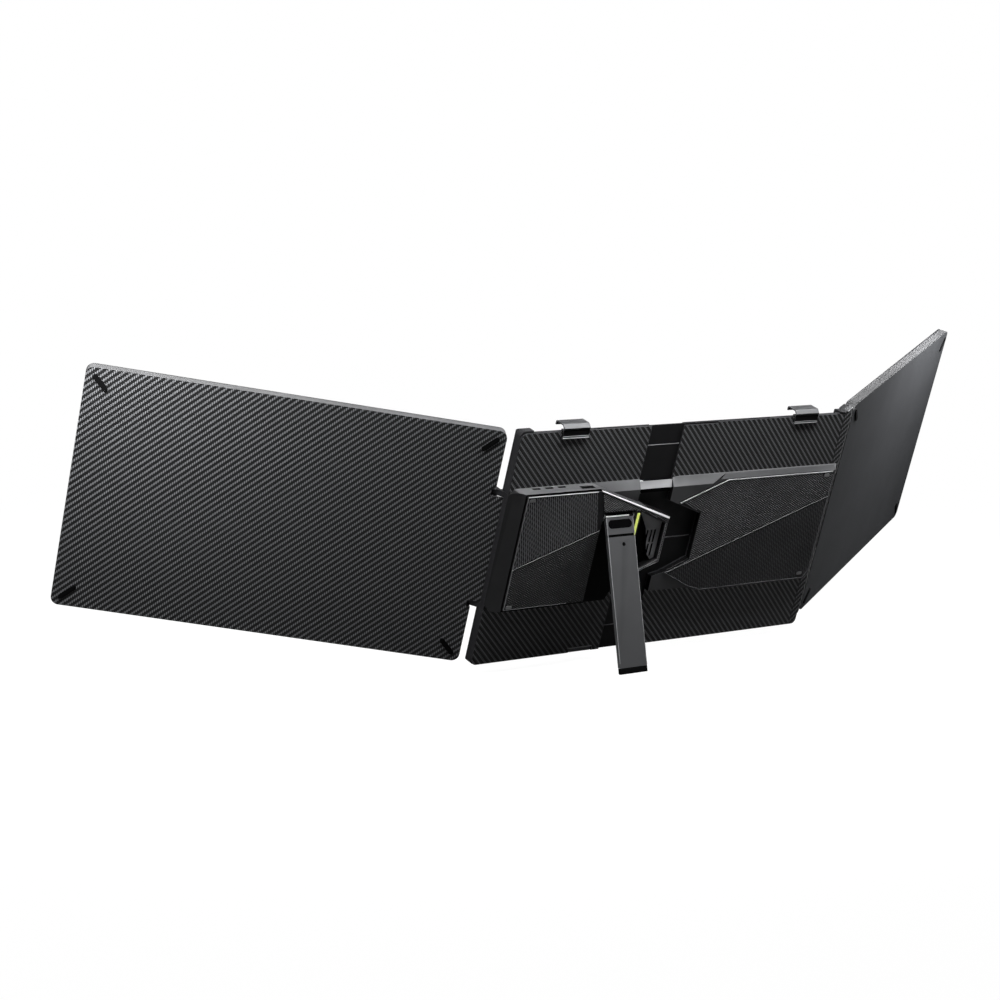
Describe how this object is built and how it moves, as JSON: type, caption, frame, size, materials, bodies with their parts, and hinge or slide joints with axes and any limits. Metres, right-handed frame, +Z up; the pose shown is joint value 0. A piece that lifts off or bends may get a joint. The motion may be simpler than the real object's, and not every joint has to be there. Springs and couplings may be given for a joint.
{
  "type": "laptop screen extender",
  "caption": "Clip-on laptop screen extender: two folding monitors on a sliding centre frame with pull-up lid clips and a rear kickstand.",
  "frame": {"origin": "centre of the centre frame's front seat, where the middle of the laptop lid's back lies", "axes": "+X to the right seen from the back, along the frame; +Y towards the user, through the lid; +Z up"},
  "size_m": [1.049, 0.2753, 0.2809],
  "materials": {
    "carbon_weave": "satin carbon-fibre look",
    "dark_cover": "smooth dark grey",
    "frame_plastic": "satin black",
    "tray_plastic": "matte black",
    "housing_plastic": "satin dark grey",
    "mesh_plastic": "fine embossed mesh",
    "light_strip": "lime, clear",
    "circuit_board": "solder mask",
    "duct_plastic": "satin grey",
    "plated_steel": "nickel plated",
    "bracket_metal": "black painted",
    "cap_plastic": "satin grey",
    "clip_metal": "dark anodised",
    "stand_metal": "dark anodised",
    "badge_gloss": "gloss black",
    "rubber": "matte",
    "screen_glass": "anti-glare black screen",
    "diffuser": "white"
  },
  "bodies": {
    "left_half": {"left_back_plate": "carbon_weave", "left_side_rail": "frame_plastic", "left_front_liner": "frame_plastic", "left_lid_pads": "rubber", "lower_lid_hook": "clip_metal", "controller_housing": "housing_plastic", "controller_mesh_cover": "mesh_plastic", "stand_surround": "mesh_plastic", "accent_strip": "light_strip", "main_board": "circuit_board", "usb_c_sockets": "plated_steel", "hdmi_socket": "plated_steel", "controller_corner_caps": "cap_plastic", "centre_tray": "tray_plastic", "cable_duct": "duct_plastic", "slide_strips": "plated_steel", "stand_bracket": "plated_steel", "stand_pin": "plated_steel", "left_hinge_bracket": "bracket_metal", "left_hinge_pin": "plated_steel"},
    "right_half": {"right_back_plate": "carbon_weave", "right_side_rail": "frame_plastic", "right_front_liner": "frame_plastic", "right_lid_pads": "rubber", "driver_housing": "housing_plastic", "driver_mesh_cover": "mesh_plastic", "driver_board": "circuit_board", "driver_corner_caps": "cap_plastic", "right_hinge_bracket": "bracket_metal", "right_hinge_pin": "plated_steel"},
    "left_clip": {"left_top_clip": "clip_metal"},
    "right_clip": {"right_top_clip": "clip_metal"},
    "kickstand": {"stand_leg": "stand_metal", "stand_badge": "badge_gloss", "stand_foot": "rubber", "stand_barrel": "plated_steel"},
    "left_monitor": {"left_wing_cover": "carbon_weave", "left_wing_bezel": "frame_plastic", "left_wing_screen": "screen_glass", "left_wing_backlight": "diffuser", "left_wing_board": "circuit_board", "left_wing_feet": "rubber", "left_wing_hinge": "plated_steel"},
    "right_link": {"link_cover": "carbon_weave", "link_front": "frame_plastic", "link_arm": "plated_steel", "link_pin": "plated_steel"},
    "right_monitor": {"right_wing_cover": "dark_cover", "right_wing_bezel": "frame_plastic", "right_wing_screen": "screen_glass", "right_wing_backlight": "diffuser", "right_wing_board": "circuit_board", "right_wing_feet": "rubber", "right_wing_hinge": "plated_steel"}
  },
  "joints": [
    {"name": "right_slide", "type": "slide", "parent": "left_half", "child": "right_half", "axis": [1, 0, 0], "range_m": [-0.03, 0.018]},
    {"name": "left_clip_slide", "type": "slide", "parent": "left_half", "child": "left_clip", "axis": [0, -0.3256, 0.9455], "range_m": [-0.0045, 0.022]},
    {"name": "right_clip_slide", "type": "slide", "parent": "right_half", "child": "right_clip", "axis": [0, -0.3256, 0.9455], "range_m": [-0.0045, 0.022]},
    {"name": "kickstand_hinge", "type": "hinge", "parent": "left_half", "child": "kickstand", "pos_m": [-0.0785, -0.02614, 0.02431], "axis": [-1, 0, 0], "range_deg": [-28, 32]},
    {"name": "left_monitor_hinge", "type": "hinge", "parent": "left_half", "child": "left_monitor", "pos_m": [-0.2013, 0.01016, 0.00244], "axis": [0, 0.3256, -0.9455], "range_deg": [-30.4, 149.6]},
    {"name": "right_link_hinge", "type": "hinge", "parent": "right_half", "child": "right_link", "pos_m": [0.2013, 0.01016, 0.00244], "axis": [0, -0.3256, 0.9455], "range_deg": [-29.5, 60.5]},
    {"name": "right_monitor_hinge", "type": "hinge", "parent": "right_link", "child": "right_monitor", "pos_m": [0.21826, 0.02118, 0.00624], "axis": [0, -0.3256, 0.9455], "range_deg": [0, 90]}
  ]
}
